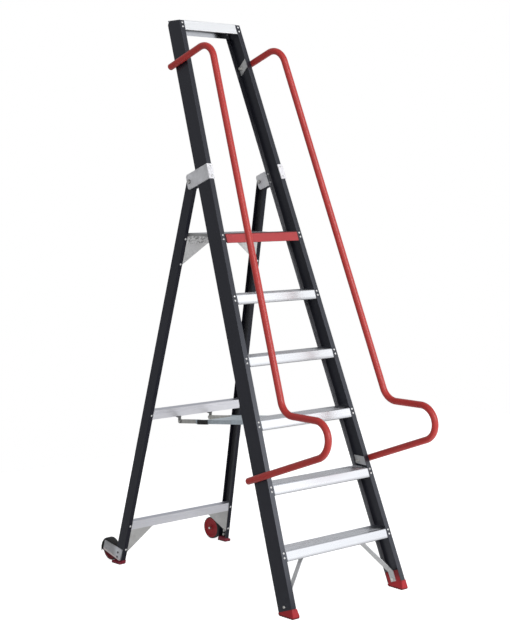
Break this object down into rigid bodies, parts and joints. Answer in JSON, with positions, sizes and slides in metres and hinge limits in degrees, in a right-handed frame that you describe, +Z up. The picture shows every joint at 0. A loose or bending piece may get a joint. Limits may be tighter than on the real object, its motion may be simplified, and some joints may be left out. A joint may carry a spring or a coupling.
{
  "type": "warehouse step ladder",
  "caption": "Folding platform step ladder with leaning channel stiles, ribbed treads, bent side handrails, hinged rear leg frame, folding deck and stay, and rear transport wheels.",
  "frame": {"origin": "on the floor, at the middle of the bounding box of the opened ladder", "axes": "+Z up; +Y from the climbing side towards the rear legs; +X to the right seen from the climbing side"},
  "size_m": [0.6458, 1.4057, 2.315],
  "materials": {
    "black_anodised": "black anodised, satin",
    "bright_tread": "mill finish, ribbed top",
    "plain_aluminium": "mill finish",
    "zinc_steel": "zinc plated",
    "rivet": "plain",
    "red_coated_tube": "red powder coat",
    "red_plastic": "moulded",
    "black_plastic": "moulded",
    "tyre": "matte"
  },
  "bodies": {
    "front_frame": {"stile_left": "black_anodised", "stile_right": "black_anodised", "tread_1": "bright_tread", "tread_2": "bright_tread", "tread_3": "bright_tread", "tread_4": "bright_tread", "tread_5": "bright_tread", "platform_tread": "bright_tread", "top_cross_piece": "bright_tread", "platform_nosing": "red_plastic", "hinge_bracket_left": "plain_aluminium", "hinge_bracket_right": "plain_aluminium", "hinge_inner_plate_left": "plain_aluminium", "hinge_inner_plate_right": "plain_aluminium", "hinge_bolts": "zinc_steel", "handrail_left": "red_coated_tube", "handrail_right": "red_coated_tube", "handrail_caps": "red_plastic", "backing_plates": "plain_aluminium", "handrail_bolts": "zinc_steel", "front_foot_left": "red_plastic", "front_foot_right": "red_plastic", "lower_brace_left": "plain_aluminium", "lower_brace_right": "plain_aluminium", "foot_bolts": "zinc_steel", "stay_ears": "plain_aluminium", "stay_pin": "zinc_steel", "deck_ears": "plain_aluminium", "deck_pins": "zinc_steel", "front_rivets": "rivet"},
    "rear_frame": {"rear_leg_left": "black_anodised", "rear_leg_right": "black_anodised", "hinge_bushes": "black_plastic", "rear_beam_bottom": "plain_aluminium", "rear_beam_mid": "plain_aluminium", "rear_beam_top": "plain_aluminium", "gusset_top_left": "plain_aluminium", "gusset_top_right": "plain_aluminium", "gusset_bottom_left": "plain_aluminium", "gusset_bottom_right": "plain_aluminium", "stay_lugs": "plain_aluminium", "lug_pins": "zinc_steel", "rear_foot_left": "red_plastic", "rear_foot_right": "red_plastic", "wheel_strap_left": "plain_aluminium", "wheel_strap_right": "plain_aluminium", "wheel_guard_left": "black_plastic", "wheel_guard_right": "black_plastic", "wheel_axles": "zinc_steel", "strap_bolts": "zinc_steel", "leg_rivets": "rivet"},
    "deck": {"platform_deck": "bright_tread", "deck_caps": "black_plastic"},
    "stay": {"stay_channel": "plain_aluminium", "stay_grip": "black_plastic"},
    "bail": {"stay_bail": "zinc_steel"},
    "left_wheel": {"wheel_left": "red_plastic", "tyre_left": "tyre"},
    "right_wheel": {"wheel_right": "red_plastic", "tyre_right": "tyre"}
  },
  "joints": [
    {"name": "rear_fold", "type": "hinge", "parent": "front_frame", "child": "rear_frame", "pos_m": [0, 0.20577, 1.648], "axis": [-1, 0, 0], "range_deg": [0, 33]},
    {"name": "deck_fold", "type": "hinge", "parent": "front_frame", "child": "deck", "pos_m": [0, 0.09246, 1.43], "axis": [1, 0, 0], "range_deg": [0, 68]},
    {"name": "stay_fold", "type": "hinge", "parent": "front_frame", "child": "stay", "pos_m": [0, -0.18611, 0.685], "axis": [1, 0, 0], "range_deg": [0, 76]},
    {"name": "bail_fold", "type": "hinge", "parent": "rear_frame", "child": "bail", "pos_m": [0, 0.42737, 0.617], "axis": [1, 0, 0], "range_deg": [0, 106]},
    {"name": "left_wheel_roll", "type": "hinge", "parent": "rear_frame", "child": "left_wheel", "pos_m": [-0.2897, 0.65287, 0.0508], "axis": [1, 0, 0], "continuous": true},
    {"name": "right_wheel_roll", "type": "hinge", "parent": "rear_frame", "child": "right_wheel", "pos_m": [0.2897, 0.65287, 0.0508], "axis": [1, 0, 0], "continuous": true}
  ],
  "couplings": [
    {"joint": "deck_fold", "follows": "rear_fold", "ratio": 2.06},
    {"joint": "stay_fold", "follows": "rear_fold", "ratio": 2.3},
    {"joint": "bail_fold", "follows": "rear_fold", "ratio": 3.2}
  ]
}
